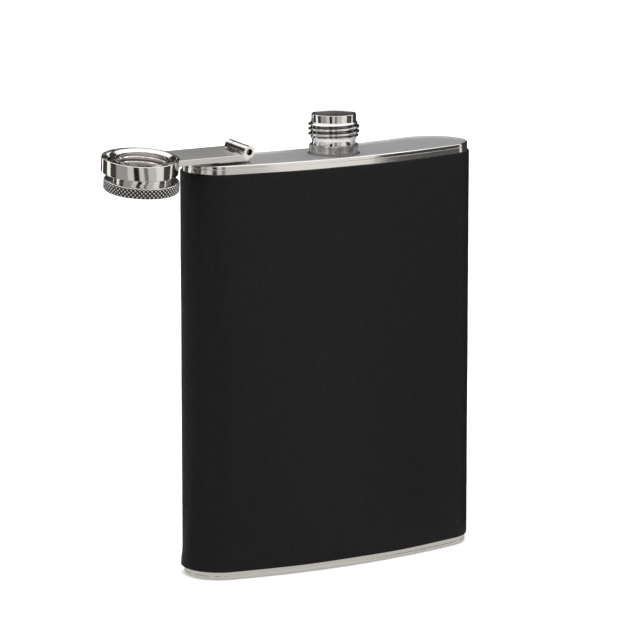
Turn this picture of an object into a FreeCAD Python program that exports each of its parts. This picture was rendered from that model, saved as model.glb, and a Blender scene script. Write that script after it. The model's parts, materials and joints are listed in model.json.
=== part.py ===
import FreeCAD, Part
import math
import os

from FreeCAD import Rotation, Vector

# Pocket hip flask: a curved stainless steel body wrapped in black leather, with a screw cap that
# stays captive in a ring on a hinged arm.  +Z is up, +X runs along the width towards the end away
# from the hinge, and -Y is the convex front.  The origin is the middle of the foot.
# The cap and arm are drawn closed, square over the neck, and then swung open to their rest pose.
# All sizes are in millimetres and all angles in degrees.

# Body
WIDTH = 95.0              # end to end, over the leather
HEIGHT = 121.0            # foot to the top rim
MID_THICKNESS = 22.8      # front to back at the middle, over the leather
END_RADIUS = 11.2         # of the two rounded ends
END_SETBACK = 3.8         # how far the ends curve back behind the middle, to suit a hip
LEATHER = 0.55            # thickness of the wrap
STEEL = 0.5               # thickness of the body wall
PLATE = 0.6               # thickness of the bottom plate
RIM = 1.1                 # height of a plate's edge
RIM_ROUND = 0.6           # rounding of the top plate's outer edge
FOOT_ROUND = 0.85         # rounding of the bottom plate's outer edge
TOP_RECESS = 0.2          # the top plate's flat lies this far below its rim
RIM_WIDTH = 0.95          # width of the raised rim round the top plate
BARE_BAND = 1.45          # bare steel between the top plate and the leather
FOOT_BAND = 1.2           # bare steel between the bottom plate and the leather
SEAM_BEVEL = 0.14         # bevel on each side of the seams between body and plates
WRAP_SEAM = 0.3           # gap where the leather's two ends meet down the back
WRAP_ROUND = 0.35

# Neck, with heights measured from the top plate
NECK_BORE = 5.75
NECK_HEIGHT = 11.6
NECK_SPIGOT = 6.1         # radius through the top plate
NECK_SPIGOT_DROP = 1.2    # how far the spigot reaches below the plate's upper face
NECK_WAIST = 6.33
NECK_LIP = 6.5            # plain lip above the thread
THREAD_ROOT = 6.75
THREAD_CREST = 7.3
THREAD_PITCH = 1.45
THREAD_LOW, THREAD_HIGH = 5.1, 9.2
THREAD_START_ANGLE = 134.0
RING_RADIUS, RING_HEIGHT = 7.14, 2.7  # turned ring round the neck's foot
SOLDER = 0.5

# Hinge
PIN_TO_NECK = 31.7        # from the hinge pin to the neck's axis
PIN_ABOVE_RIM = 3.55
PIN_LEAN = 3.5            # the pin stands this much out of level, so the open arm leans by twice it
PIN_RADIUS = 0.6
PIN_LENGTH = 9.2
PIN_RECESS_RADIUS, PIN_RECESS_DEPTH = 0.9, 0.8  # in the barrel's ends, over the pin
PIN_RUNNING_GAP = 0.04
KNUCKLE_RADIUS = 1.75
LUG_RADIUS = 1.7
LUG_HALF_WIDTH = 2.45
SLOT_HALF_WIDTH = 2.6
SLOT_DEPTH = 3.9          # from the pin to the end of the arm's slot
PLINTH_LENGTH, PLINTH_WIDTH, PLINTH_HEIGHT = 10.6, 6.0, 1.0

# Arm and captive ring, closed, with heights measured from the pin
ARM_HALF_WIDTH = 5.5
ARM_LOW, ARM_HIGH = 0.3, 2.05
COLLAR_SHIFT = 0.8        # the ring is brazed on this far past the cap's axis
COLLAR_LOW, COLLAR_HIGH = -0.15, 4.15
COLLAR_RADIUS = 11.0
COLLAR_BORE = 9.3
COLLAR_SEAT_RADIUS = 10.5
COLLAR_SEAT_RIM, COLLAR_SEAT_DEPTH = 0.58, 1.36
BRAZE = 0.45

# Cap, closed but not yet screwed down, with heights measured from the pin
SLEEVE_LOW, SLEEVE_HIGH = -0.28, 8.8
SLEEVE_RADIUS, SLEEVE_BORE = 8.3, 7.85
SLEEVE_THREAD = 7.68      # crest of the shallow female thread
SLEEVE_THREAD_LOW, SLEEVE_THREAD_HIGH = 1.3, 4.9
FLARE_RADIUS, FLARE_HEIGHT = 9.5, 0.8
FLARE_LIP = 0.5           # width of the flat lip round the flare
HEAD_LOW, HEAD_HIGH = 6.35, 9.4
HEAD_RADIUS = 10.8
HEAD_BEVEL = 0.35
GASKET_RADIUS, GASKET_LOW, GASKET_HIGH = 7.8, 8.1, 8.78

# Places worked out from the sizes above
PLATE_TOP = HEIGHT - TOP_RECESS
PIN_POINT = Vector(-PIN_TO_NECK, 0, HEIGHT + PIN_ABOVE_RIM)
PIN_AXIS = Vector(0, math.cos(math.radians(PIN_LEAN)), math.sin(math.radians(PIN_LEAN)))
Z = Vector(0, 0, 1)
OVERLAP = 0.2             # how far a tool passes a face, or a fused piece runs into its neighbour


def outline(inset, z):
    """The body's kidney-shaped outline, moved in from the leather's outer face, at one height."""
    end_x = WIDTH / 2 - END_RADIUS
    front = MID_THICKNESS / 2 + END_SETBACK
    back = MID_THICKNESS / 2 - END_SETBACK
    front_radius = (end_x ** 2 + front ** 2 - END_RADIUS ** 2) / (2 * (front - END_RADIUS))
    back_radius = (end_x ** 2 + back ** 2 - END_RADIUS ** 2) / (2 * (END_RADIUS - back))
    end = Vector(end_x, END_SETBACK, z)
    front_centre = Vector(0, front_radius - MID_THICKNESS / 2, z)
    back_centre = Vector(0, back_radius + MID_THICKNESS / 2, z)
    front_way = (end - front_centre).normalize()
    back_way = (end - back_centre).normalize()
    front_right = front_centre + front_way * (front_radius - inset)
    back_right = back_centre + back_way * (back_radius + inset)
    tip = Vector(WIDTH / 2 - inset, END_SETBACK, z)
    front_mid = Vector(0, -MID_THICKNESS / 2 + inset, z)
    back_mid = Vector(0, MID_THICKNESS / 2 - inset, z)

    def other_side(p):
        return Vector(-p.x, p.y, p.z)

    arcs = [
        Part.Arc(other_side(front_right), front_mid, front_right),
        Part.Arc(front_right, tip, back_right),
        Part.Arc(back_right, back_mid, other_side(back_right)),
        Part.Arc(other_side(back_right), other_side(tip), other_side(front_right)),
    ]
    return Part.Wire([arc.toShape() for arc in arcs])


def slab(inset, low, high):
    """A solid of the body's outline between two heights."""
    return Part.Face(outline(inset, low)).extrude(Vector(0, 0, high - low))


def edges_at(shape, z, inset):
    """The four edges of the outline with that inset, at that height."""
    found = []
    for edge in shape.Edges:
        box = edge.BoundBox
        if abs(box.ZMin - z) > 1e-4 or abs(box.ZMax - z) > 1e-4:
            continue
        middle = edge.valueAt((edge.FirstParameter + edge.LastParameter) / 2)
        reach = outline(inset, z).distToShape(Part.Vertex(middle))[0]
        if reach < 1e-3:
            found.append(edge)
    return found


def turned(points, z0=0.0):
    """A solid turned about the Z axis from (radius, height) points."""
    path = [Vector(r, 0, z0 + h) for r, h in points]
    face = Part.Face(Part.makePolygon(path + path[:1]))
    return face.revolve(Vector(0, 0, 0), Z, 360)


def screw_ridge(root, crest, low, high, start_angle):
    """A V-shaped ridge wound round the Z axis between two heights, from the root radius to the crest."""
    half = THREAD_PITCH * 0.36
    buried = root - math.copysign(OVERLAP, crest - root)
    helix = Part.makeHelix(THREAD_PITCH, high - low - 2 * half, root)
    corners = [
        Vector(buried, 0, -half),
        Vector(crest, 0, -half * 0.22),
        Vector(crest, 0, half * 0.22),
        Vector(buried, 0, half),
    ]
    section = Part.makePolygon(corners + corners[:1])
    ridge = Part.Wire(helix.Edges).makePipeShell([section], True, True)
    ridge.rotate(Vector(0, 0, 0), Z, start_angle)
    ridge.translate(Vector(0, 0, low + half))
    return ridge


def rod(radius, start, end):
    """A cylinder along the hinge pin's axis, between two distances from the middle."""
    return Part.makeCylinder(radius, end - start, PIN_POINT + PIN_AXIS * start, PIN_AXIS)


def across_pin(x_low, x_high, half_width, z_low, z_high):
    """A box square to the hinge pin, with its sides measured from the middle of the pin."""
    box = Part.makeBox(x_high - x_low, 2 * half_width, z_high - z_low,
                       PIN_POINT + Vector(x_low, -half_width, z_low))
    box.rotate(PIN_POINT, Vector(1, 0, 0), PIN_LEAN)
    return box


# ---- body ----------------------------------------------------------------------------------

def body_shell():
    low, high = RIM, HEIGHT - RIM
    outer = slab(LEATHER, low, high)
    outer = outer.makeChamfer(SEAM_BEVEL, edges_at(outer, low, LEATHER) + edges_at(outer, high, LEATHER))
    return outer.cut(slab(LEATHER + STEEL, low - OVERLAP, high + OVERLAP))


def top_plate():
    low = HEIGHT - RIM
    plate = slab(LEATHER, low, HEIGHT)
    plate = plate.makeFillet(RIM_ROUND, edges_at(plate, HEIGHT, LEATHER))
    plate = plate.makeChamfer(SEAM_BEVEL, edges_at(plate, low, LEATHER))
    dish = slab(LEATHER + RIM_WIDTH, PLATE_TOP, HEIGHT + OVERLAP)
    hole = Part.makeCylinder(NECK_SPIGOT, RIM + 2 * OVERLAP, Vector(0, 0, low - OVERLAP))
    return plate.cut(dish).cut(hole)


def bottom_plate():
    plate = slab(LEATHER, 0, RIM)
    plate = plate.makeFillet(FOOT_ROUND, edges_at(plate, 0, LEATHER))
    plate = plate.makeChamfer(SEAM_BEVEL, edges_at(plate, RIM, LEATHER))
    return plate.cut(slab(LEATHER + STEEL, PLATE, RIM + OVERLAP))


def leather_wrap():
    low, high = RIM + FOOT_BAND, HEIGHT - RIM - BARE_BAND
    outer = slab(0, low, high)
    outer = outer.makeFillet(WRAP_ROUND, edges_at(outer, low, 0) + edges_at(outer, high, 0))
    sleeve = outer.cut(slab(LEATHER, low - OVERLAP, high + OVERLAP))
    slit = Part.makeBox(WRAP_SEAM, MID_THICKNESS, HEIGHT, Vector(-WRAP_SEAM / 2, 0, 0))
    return sleeve.cut(slit)


# ---- neck ----------------------------------------------------------------------------------

def threaded_neck():
    tube = turned([
        (NECK_BORE, -NECK_SPIGOT_DROP),
        (NECK_SPIGOT, -NECK_SPIGOT_DROP),
        (NECK_SPIGOT, 0),
        (NECK_WAIST, 0),
        (NECK_WAIST, THREAD_LOW - 1.2),
        (THREAD_ROOT, THREAD_LOW - 0.3),
        (THREAD_ROOT, THREAD_HIGH - 0.1),
        (NECK_LIP, THREAD_HIGH + 0.1),
        (NECK_LIP, NECK_HEIGHT - 0.15),
        (NECK_LIP - 0.15, NECK_HEIGHT),
        (NECK_BORE + 0.15, NECK_HEIGHT),
        (NECK_BORE, NECK_HEIGHT - 0.15),
    ], PLATE_TOP)
    ridge = screw_ridge(THREAD_ROOT, THREAD_CREST, PLATE_TOP + THREAD_LOW, PLATE_TOP + THREAD_HIGH,
                        THREAD_START_ANGLE)
    return tube.fuse(ridge)


def neck_ring():
    return turned([
        (NECK_WAIST, 0),
        (RING_RADIUS, 0),
        (RING_RADIUS, RING_HEIGHT - 0.25),
        (RING_RADIUS - 0.25, RING_HEIGHT),
        (NECK_WAIST, RING_HEIGHT),
    ], PLATE_TOP)


def neck_solder():
    return turned([(RING_RADIUS, 0), (RING_RADIUS + SOLDER, 0), (RING_RADIUS, SOLDER)], PLATE_TOP)


# ---- hinge ---------------------------------------------------------------------------------

def plinth(grow, height):
    """The bracket's foot, lying on the top plate under the open arm."""
    box = Part.makeBox(PLINTH_LENGTH + 2 * grow, PLINTH_WIDTH + 2 * grow, height,
                       Vector(PIN_POINT.x + LUG_RADIUS - PLINTH_LENGTH - grow,
                              -PLINTH_WIDTH / 2 - grow, PLATE_TOP))
    corners = [e for e in box.Edges if e.BoundBox.ZLength > height / 2]
    return box.makeFillet(1.0 + grow, corners)


def hinge_bracket():
    foot = plinth(0, PLINTH_HEIGHT)
    rise = PIN_ABOVE_RIM + HEIGHT - PLATE_TOP
    web = across_pin(-LUG_RADIUS, LUG_RADIUS, LUG_HALF_WIDTH, -rise + PLINTH_HEIGHT / 2, 0)
    lug = rod(LUG_RADIUS, -LUG_HALF_WIDTH, LUG_HALF_WIDTH)
    eye = rod(PIN_RADIUS + PIN_RUNNING_GAP, -ARM_HALF_WIDTH, ARM_HALF_WIDTH)
    return foot.fuse(web).fuse(lug).cut(eye).removeSplitter()


def bracket_solder():
    bead = plinth(SOLDER, SOLDER)
    upper = [e for e in bead.Edges if e.BoundBox.ZMin > PLATE_TOP + SOLDER / 2]
    return bead.makeChamfer(SOLDER * 0.9, upper).cut(plinth(0, PLINTH_HEIGHT))


def hinge_pin():
    pin = rod(PIN_RADIUS, -PIN_LENGTH / 2, PIN_LENGTH / 2)
    ends = [e for e in pin.Edges if e.BoundBox.YLength < PIN_LENGTH / 2]
    return pin.makeChamfer(0.15, ends)


# ---- arm and captive ring, drawn closed ------------------------------------------------------

def closed_arm():
    strip = Part.makeBox(PIN_TO_NECK, 2 * ARM_HALF_WIDTH, ARM_HIGH - ARM_LOW,
                         PIN_POINT + Vector(0, -ARM_HALF_WIDTH, ARM_LOW))
    long_edges = [e for e in strip.Edges if e.BoundBox.XLength > 1]
    strip = strip.makeFillet(0.18, long_edges)
    saddle = Part.makeCylinder(COLLAR_RADIUS, 2 * COLLAR_RADIUS,
                               Vector(COLLAR_SHIFT, 0, PIN_POINT.z - COLLAR_RADIUS))
    strip = strip.cut(saddle)
    barrel = rod(KNUCKLE_RADIUS, -ARM_HALF_WIDTH, ARM_HALF_WIDTH)
    slot = across_pin(-3, SLOT_DEPTH - 0.8, SLOT_HALF_WIDTH, -3, 3)
    slot_end = across_pin(0, SLOT_DEPTH, SLOT_HALF_WIDTH - 0.8, -3, 3)
    arm = strip.fuse(barrel).cut(slot).cut(slot_end)
    for side in (-1, 1):
        corner = Part.makeCylinder(0.8, 6, Vector(0, 0, -3))
        corner.translate(PIN_POINT + Vector(SLOT_DEPTH - 0.8, side * (SLOT_HALF_WIDTH - 0.8), 0))
        corner.rotate(PIN_POINT, Vector(1, 0, 0), PIN_LEAN)
        arm = arm.cut(corner)
        mouth, floor = side * (ARM_HALF_WIDTH + OVERLAP), side * (ARM_HALF_WIDTH - PIN_RECESS_DEPTH)
        arm = arm.cut(rod(PIN_RECESS_RADIUS, min(mouth, floor), max(mouth, floor)))
    arm = arm.cut(rod(PIN_RADIUS, -ARM_HALF_WIDTH, ARM_HALF_WIDTH))
    return arm.removeSplitter()


def closed_collar():
    edge = 0.3
    collar = turned([
        (COLLAR_BORE, COLLAR_LOW + COLLAR_SEAT_DEPTH),
        (COLLAR_SEAT_RADIUS, COLLAR_LOW + COLLAR_SEAT_RIM),
        (COLLAR_SEAT_RADIUS, COLLAR_LOW),
        (COLLAR_RADIUS - edge, COLLAR_LOW),
        (COLLAR_RADIUS, COLLAR_LOW + edge),
        (COLLAR_RADIUS, COLLAR_HIGH - edge),
        (COLLAR_RADIUS - edge, COLLAR_HIGH),
        (COLLAR_BORE + edge, COLLAR_HIGH),
        (COLLAR_BORE, COLLAR_HIGH - edge),
    ], PIN_POINT.z)
    collar.translate(Vector(COLLAR_SHIFT, 0, 0))
    return collar


def closed_braze(face, way, room):
    """The fillet of braze where one face of the arm meets the captive ring's side."""
    size = min(BRAZE, room - 0.05)
    bead = turned([(COLLAR_RADIUS, face), (COLLAR_RADIUS + size, face), (COLLAR_RADIUS, face + way * size)],
                  PIN_POINT.z)
    bead.translate(Vector(COLLAR_SHIFT, 0, 0))
    reach = Part.makeBox(PIN_TO_NECK, 2 * ARM_HALF_WIDTH - 0.6, 2 * COLLAR_RADIUS,
                         Vector(-PIN_TO_NECK, -ARM_HALF_WIDTH + 0.3, PIN_POINT.z - COLLAR_RADIUS))
    return bead.common(reach)


# ---- cap, drawn closed ----------------------------------------------------------------------

def closed_sleeve():
    lip = 0.12
    tube = turned([
        (SLEEVE_BORE, SLEEVE_LOW + FLARE_HEIGHT),
        (FLARE_RADIUS - FLARE_LIP - lip, SLEEVE_LOW + lip),
        (FLARE_RADIUS - FLARE_LIP, SLEEVE_LOW),
        (FLARE_RADIUS - lip, SLEEVE_LOW),
        (FLARE_RADIUS, SLEEVE_LOW + lip),
        (SLEEVE_RADIUS, SLEEVE_LOW + FLARE_HEIGHT),
        (SLEEVE_RADIUS, SLEEVE_HIGH),
        (SLEEVE_BORE, SLEEVE_HIGH),
    ], PIN_POINT.z)
    ridge = screw_ridge(SLEEVE_BORE, SLEEVE_THREAD, PIN_POINT.z + SLEEVE_THREAD_LOW,
                        PIN_POINT.z + SLEEVE_THREAD_HIGH, THREAD_START_ANGLE)
    return tube.fuse(ridge)


def closed_head():
    return turned([
        (SLEEVE_RADIUS, HEAD_LOW),
        (HEAD_RADIUS - HEAD_BEVEL, HEAD_LOW),
        (HEAD_RADIUS, HEAD_LOW + HEAD_BEVEL),
        (HEAD_RADIUS, HEAD_HIGH - HEAD_BEVEL),
        (HEAD_RADIUS - HEAD_BEVEL, HEAD_HIGH),
        (0, HEAD_HIGH),
        (0, SLEEVE_HIGH),
        (SLEEVE_RADIUS, SLEEVE_HIGH),
    ], PIN_POINT.z)


def closed_gasket():
    return turned([
        (0, GASKET_LOW),
        (GASKET_RADIUS, GASKET_LOW),
        (GASKET_RADIUS, GASKET_HIGH),
        (0, GASKET_HIGH),
    ], PIN_POINT.z)


def swung_open(shape):
    """The closed shape turned half a turn about the hinge pin, to the rest pose."""
    shape.rotate(PIN_POINT, PIN_AXIS, 180)
    return shape


PARTS = {
    "body_shell": body_shell,
    "top_plate": top_plate,
    "bottom_plate": bottom_plate,
    "leather_wrap": leather_wrap,
    "threaded_neck": threaded_neck,
    "neck_ring": neck_ring,
    "neck_solder": neck_solder,
    "hinge_bracket": hinge_bracket,
    "bracket_solder": bracket_solder,
    "hinge_pin": hinge_pin,
    "hinge_arm": lambda: swung_open(closed_arm()),
    "captive_ring": lambda: swung_open(closed_collar()),
    "ring_braze_top": lambda: swung_open(closed_braze(ARM_LOW, -1, ARM_LOW - COLLAR_LOW)),
    "ring_braze_under": lambda: swung_open(closed_braze(ARM_HIGH, 1, COLLAR_HIGH - ARM_HIGH)),
    "cap_sleeve": lambda: swung_open(closed_sleeve()),
    "cap_head": lambda: swung_open(closed_head()),
    "cap_gasket": lambda: swung_open(closed_gasket()),
}

os.makedirs("parts", exist_ok=True)
for name, make in PARTS.items():
    solid = make()
    print(name, "valid" if solid.isValid() else "NOT VALID", len(solid.Solids), round(solid.Volume, 1))
    solid.exportStep("parts/" + name + ".step")
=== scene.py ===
import json
import math

import bmesh
import bpy
from bpy.props import FloatProperty, FloatVectorProperty, IntProperty, PointerProperty
from mathutils import Matrix, Vector, noise


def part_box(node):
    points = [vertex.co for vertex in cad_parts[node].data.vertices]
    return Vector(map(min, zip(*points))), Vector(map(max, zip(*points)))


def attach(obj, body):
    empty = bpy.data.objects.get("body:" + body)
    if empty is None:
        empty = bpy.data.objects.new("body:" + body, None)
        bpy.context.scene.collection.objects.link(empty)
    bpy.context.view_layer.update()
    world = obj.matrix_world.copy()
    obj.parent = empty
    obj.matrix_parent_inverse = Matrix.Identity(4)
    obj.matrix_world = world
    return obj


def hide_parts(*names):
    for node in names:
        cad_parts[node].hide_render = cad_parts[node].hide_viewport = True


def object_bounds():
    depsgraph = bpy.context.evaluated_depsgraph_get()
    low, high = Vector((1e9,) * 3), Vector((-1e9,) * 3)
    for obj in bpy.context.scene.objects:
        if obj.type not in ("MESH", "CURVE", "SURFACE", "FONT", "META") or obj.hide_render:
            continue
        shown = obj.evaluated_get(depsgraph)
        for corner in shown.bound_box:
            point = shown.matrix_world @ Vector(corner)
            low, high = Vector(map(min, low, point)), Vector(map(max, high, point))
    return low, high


bl_info = {
    "name": "Hip flask",
    "version": (1, 0, 0),
    "blender": (4, 5, 0),
    "location": "3D View > Sidebar > Flask",
    "description": "Builds the visible pieces of a leather-wrapped hip flask round its fixed frame",
    "category": "Object",
}

MM = 0.001

# Sizes of the finished pieces, close to those of the frame's nodes that they stand for.
WALL = 0.5 * MM                 # steel of the shell and the foot
PLATE_SPIGOT = 6.1 * MM         # the neck where it passes through the top plate
NECK_LIP = 6.5 * MM
THREAD_ROOT = 6.75 * MM
THREAD_TOP = 2.45 * MM          # below the mouth
THREAD_FOOT = 6.8 * MM
SLEEVE_BORE = 7.85 * MM
SLEEVE_OUTER = 8.3 * MM
SLEEVE_THREAD_FOOT = 1.6 * MM   # above the sleeve's lip
SLEEVE_THREAD_TOP = 5.4 * MM
FLARE_HEIGHT = 0.8 * MM
FLARE_LIP = 0.62 * MM
RING_SEAT = 10.5 * MM           # the captive ring's cone, where the flare rests
RING_SEAT_EDGE = 0.58 * MM
RING_SEAT_DEPTH = 1.36 * MM
SEAL_BEAD = 6.1 * MM            # the seal's raised bead, over the neck's mouth
BARREL_RADIUS = 1.8 * MM
BARREL_HOLE = 0.9 * MM

# Shape of the rolled thread: half widths of the ridge's flat top and of its foot, in turns.
CREST_FLAT, CREST_FOOT = 0.08, 0.40
KNURL_FLANK = 1.45              # how steeply a diamond rises from its grooves

AIM = (-4.7 * MM, 11.4 * MM)    # where the camera looks, from the shell's middle: across and above
FLOOR_DROP = 0.1 * MM

# (name, place, size, watts, whether the bright steel shows it)
LAMPS = (
    ("overhead", (0.0, -0.1, 1.5), (1.6, 1.6), 12, False),
    ("ceiling", (0.0, 0.0, 4.0), (8.0, 8.0), 180, False),
    ("left_window", (-1.4, -0.5, 0.7), (0.5, 1.2), 1.5, True),
    ("right_window", (1.3, -1.0, 0.7), (0.5, 1.2), 4, True),
)
LAMP_TARGET = (0, 0, 0.08)
WALL_LIGHT, CEILING_LIGHT = 0.64, 1.2

# (start, end, tone): the cards round the flask, in degrees from the camera towards its right
CARDS = (
    (-180, -137, 0.03), (-130, -104, 0.04), (-104, -90, 1.0), (-90, -70, 0.05), (-70, -38, 0.32),
    (-38, -22, 0.6), (-22, -8, 0.015), (-8, 5, 0.6), (5, 16, 0.18), (16, 42, 0.52),
    (42, 70, 0.78), (70, 103, 0.05), (103, 112, 0.9), (112, 180, 0.04),
)
CARD_UNDER = 0.52               # tone of the disc under the flask

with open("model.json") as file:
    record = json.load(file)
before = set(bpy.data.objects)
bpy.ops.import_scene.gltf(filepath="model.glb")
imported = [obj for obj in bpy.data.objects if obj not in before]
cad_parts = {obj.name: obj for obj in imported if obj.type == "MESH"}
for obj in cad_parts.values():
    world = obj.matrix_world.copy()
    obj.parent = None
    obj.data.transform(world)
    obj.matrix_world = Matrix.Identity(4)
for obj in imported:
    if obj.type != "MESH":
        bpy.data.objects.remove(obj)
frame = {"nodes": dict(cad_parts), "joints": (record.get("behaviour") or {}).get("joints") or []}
CAD_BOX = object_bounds()
JOINTS = {joint["name"]: joint for joint in frame["joints"]}


# ---- sizes and colours that a user would change ------------------------------------------------

class FlaskBodySizes(bpy.types.PropertyGroup):
    """The kidney-shaped body, its steel ends and its leather."""

    end_radius: FloatProperty(
        name="End radius", description="Radius of the two rounded ends, over the leather",
        default=11.2 * MM, subtype="DISTANCE", unit="LENGTH", precision=5)
    end_setback: FloatProperty(
        name="End setback", description="How far the ends curve back behind the middle",
        default=3.8 * MM, subtype="DISTANCE", unit="LENGTH", precision=5)
    mid_thickness: FloatProperty(
        name="Middle thickness", description="Front to back at the middle, over the leather",
        default=22.8 * MM, subtype="DISTANCE", unit="LENGTH", precision=5)
    leather: FloatProperty(
        name="Leather", description="Thickness of the leather wrap",
        default=0.55 * MM, subtype="DISTANCE", unit="LENGTH", precision=5)
    seam_gap: FloatProperty(
        name="Seam gap", description="Gap between the leather's two ends, down the middle of the back",
        default=0.3 * MM, subtype="DISTANCE", unit="LENGTH", precision=5)
    seam_bevel: FloatProperty(
        name="Plate seam", description="Bevel on each side of the seams between shell and end plates",
        default=0.16 * MM, subtype="DISTANCE", unit="LENGTH", precision=5)
    foot_round: FloatProperty(
        name="Foot rounding", description="Rounding of the foot's outer edge",
        default=0.85 * MM, subtype="DISTANCE", unit="LENGTH", precision=5)
    rim_width: FloatProperty(
        name="Rim width", description="Width of the raised rim round the top plate",
        default=0.95 * MM, subtype="DISTANCE", unit="LENGTH", precision=5)
    rim_round: FloatProperty(
        name="Rim rounding", description="Rounding of the end plates' outer edges",
        default=0.6 * MM, subtype="DISTANCE", unit="LENGTH", precision=5)


class FlaskThreadSizes(bpy.types.PropertyGroup):
    """The rolled screw thread on the neck and inside the cap's sleeve."""

    pitch: FloatProperty(
        name="Pitch", description="Rise of the thread in one turn",
        default=1.45 * MM, subtype="DISTANCE", unit="LENGTH", precision=5)
    height: FloatProperty(
        name="Ridge height", description="Height of the neck's thread above its root",
        default=0.7 * MM, subtype="DISTANCE", unit="LENGTH", precision=5)
    sleeve_height: FloatProperty(
        name="Sleeve ridge height", description="Height of the thread inside the cap's sleeve",
        default=0.2 * MM, subtype="DISTANCE", unit="LENGTH", precision=5)
    run_out: FloatProperty(
        name="Run-out", description="Length along the neck over which the thread fades at each end",
        default=0.7 * MM, subtype="DISTANCE", unit="LENGTH", precision=5)
    start: FloatProperty(
        name="Start", description="Angle at which a ridge crosses the thread's lower end",
        default=math.radians(86), subtype="ANGLE", unit="ROTATION")


class FlaskKnurlSizes(bpy.types.PropertyGroup):
    """The diamond knurl round the cap's head."""

    count: IntProperty(
        name="Diamonds", description="Number of diamonds in one row round the head", default=56, min=8)
    rows: FloatProperty(
        name="Row height", description="Height of one diamond",
        default=1.2 * MM, subtype="DISTANCE", unit="LENGTH", precision=5)
    depth: FloatProperty(
        name="Depth", description="Depth of the knurl's grooves",
        default=0.36 * MM, subtype="DISTANCE", unit="LENGTH", precision=5)


class FlaskFinishes(bpy.types.PropertyGroup):
    """Colours of the steel, leather and gasket."""

    polished: FloatVectorProperty(
        name="Polished steel", description="Colour of the mirror-polished steel",
        default=(0.93, 0.915, 0.89), subtype="COLOR", min=0, max=1)
    satin: FloatVectorProperty(
        name="Satin steel", description="Colour of the satin end plates and arm",
        default=(0.86, 0.86, 0.86), subtype="COLOR", min=0, max=1)
    leather: FloatVectorProperty(
        name="Leather", description="Colour of the leather", default=(0.0068, 0.0068, 0.0071),
        subtype="COLOR", min=0, max=1)
    gasket: FloatVectorProperty(
        name="Gasket", description="Colour of the cap's sealing disc", default=(0.30, 0.255, 0.25),
        subtype="COLOR", min=0, max=1)


class FlaskStageSettings(bpy.types.PropertyGroup):
    """Camera, floor and lights."""

    azimuth: FloatProperty(
        name="Azimuth", description="Direction of the camera round the flask, from the front",
        default=math.radians(-31.84), subtype="ANGLE", unit="ROTATION")
    elevation: FloatProperty(
        name="Elevation", description="Height of the camera above the horizon",
        default=math.radians(11.08), subtype="ANGLE", unit="ROTATION")
    distance: FloatProperty(
        name="Distance", description="From the camera to the point that it looks at",
        default=1.182, subtype="DISTANCE", unit="LENGTH")
    lens: FloatProperty(
        name="Lens", description="Focal length in millimetres on a 36 mm wide sensor", default=228.2)
    floor: FloatProperty(
        name="Floor", description="How light the floor is", default=0.93, min=0, max=1)


class FlaskSettings(bpy.types.PropertyGroup):
    """Everything that the flask's operators read."""

    body: PointerProperty(type=FlaskBodySizes)
    thread: PointerProperty(type=FlaskThreadSizes)
    knurl: PointerProperty(type=FlaskKnurlSizes)
    finish: PointerProperty(type=FlaskFinishes)
    stage: PointerProperty(type=FlaskStageSettings)


def settings():
    return bpy.context.scene.hip_flask


# ---- meshes ------------------------------------------------------------------------------------

def arc_points(centre, radius, start, end, fractions):
    """Points on an arc with their outward directions, from one angle to another."""
    found = []
    for t in fractions:
        angle = start + (end - start) * t
        way = Vector((math.cos(angle), math.sin(angle)))
        found.append((centre + way * radius, way))
    return found


def kidney(inset, fine_seam=False):
    """The body's outline as (point, outward direction) pairs, from the middle of the back by +X.

    Points at the same place in the list lie on one normal of the outline, whatever the inset.
    """
    body = settings().body
    low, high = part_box("leather_wrap")
    end_x = (high.x - low.x) / 2 - body.end_radius
    half = body.mid_thickness / 2
    front, back = half + body.end_setback, half - body.end_setback
    end_squared = body.end_radius ** 2
    front_radius = (end_x ** 2 + front ** 2 - end_squared) / (2 * (front - body.end_radius))
    back_radius = (end_x ** 2 + back ** 2 - end_squared) / (2 * (body.end_radius - back))
    front_centre = Vector((0, front_radius - half))
    back_centre = Vector((0, back_radius + half))
    end = Vector((end_x, body.end_setback))
    front_turn = math.atan2(end_x, front_centre.y - end.y)
    back_turn = math.atan2(end_x, back_centre.y - end.y)
    down, up = -math.pi / 2, math.pi / 2
    back_steps, end_steps, front_steps = 60, 56, 120
    along_back = [(i / back_steps) ** (2 if fine_seam else 1) for i in range(back_steps)]
    along_end = [i / end_steps for i in range(end_steps)]
    along_front = [i / front_steps for i in range(front_steps)]

    right_back = arc_points(back_centre, back_radius + inset, down, down + back_turn, along_back)
    right_back = [(p, -way) for p, way in right_back]
    end_reach = body.end_radius - inset
    right_end = arc_points(end, end_reach, up + back_turn, down + front_turn, along_end)
    front_arc = arc_points(
        front_centre, front_radius - inset, down + front_turn, down - front_turn, along_front)
    far_end = Vector((-end_x, body.end_setback))
    left_end = arc_points(far_end, end_reach, down - front_turn, -3 * up - back_turn, along_end)
    left_start = [0.0] + [1 - t for t in along_back[:0:-1]]
    left_back = arc_points(back_centre, back_radius + inset, down - back_turn, down, left_start)
    left_back = [(p, -way) for p, way in left_back]
    return right_back + right_end + front_arc + left_end + left_back


def softened(corners, steps=4):
    """A closed outline of (u, v) points from (u, v, rounding) corners, each eased by a curve."""
    path = []
    count = len(corners)
    for i, (u, v, ease) in enumerate(corners):
        here = Vector((u, v))
        before = Vector(corners[i - 1][:2])
        after = Vector(corners[(i + 1) % count][:2])
        if ease <= 0:
            path.append(here)
            continue
        a = here + (before - here).normalized() * min(ease, (before - here).length * 0.49)
        b = here + (after - here).normalized() * min(ease, (after - here).length * 0.49)
        for k in range(steps + 1):
            t = k / steps
            path.append(a * (1 - t) ** 2 + here * 2 * t * (1 - t) + b * t ** 2)
    return path


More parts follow.
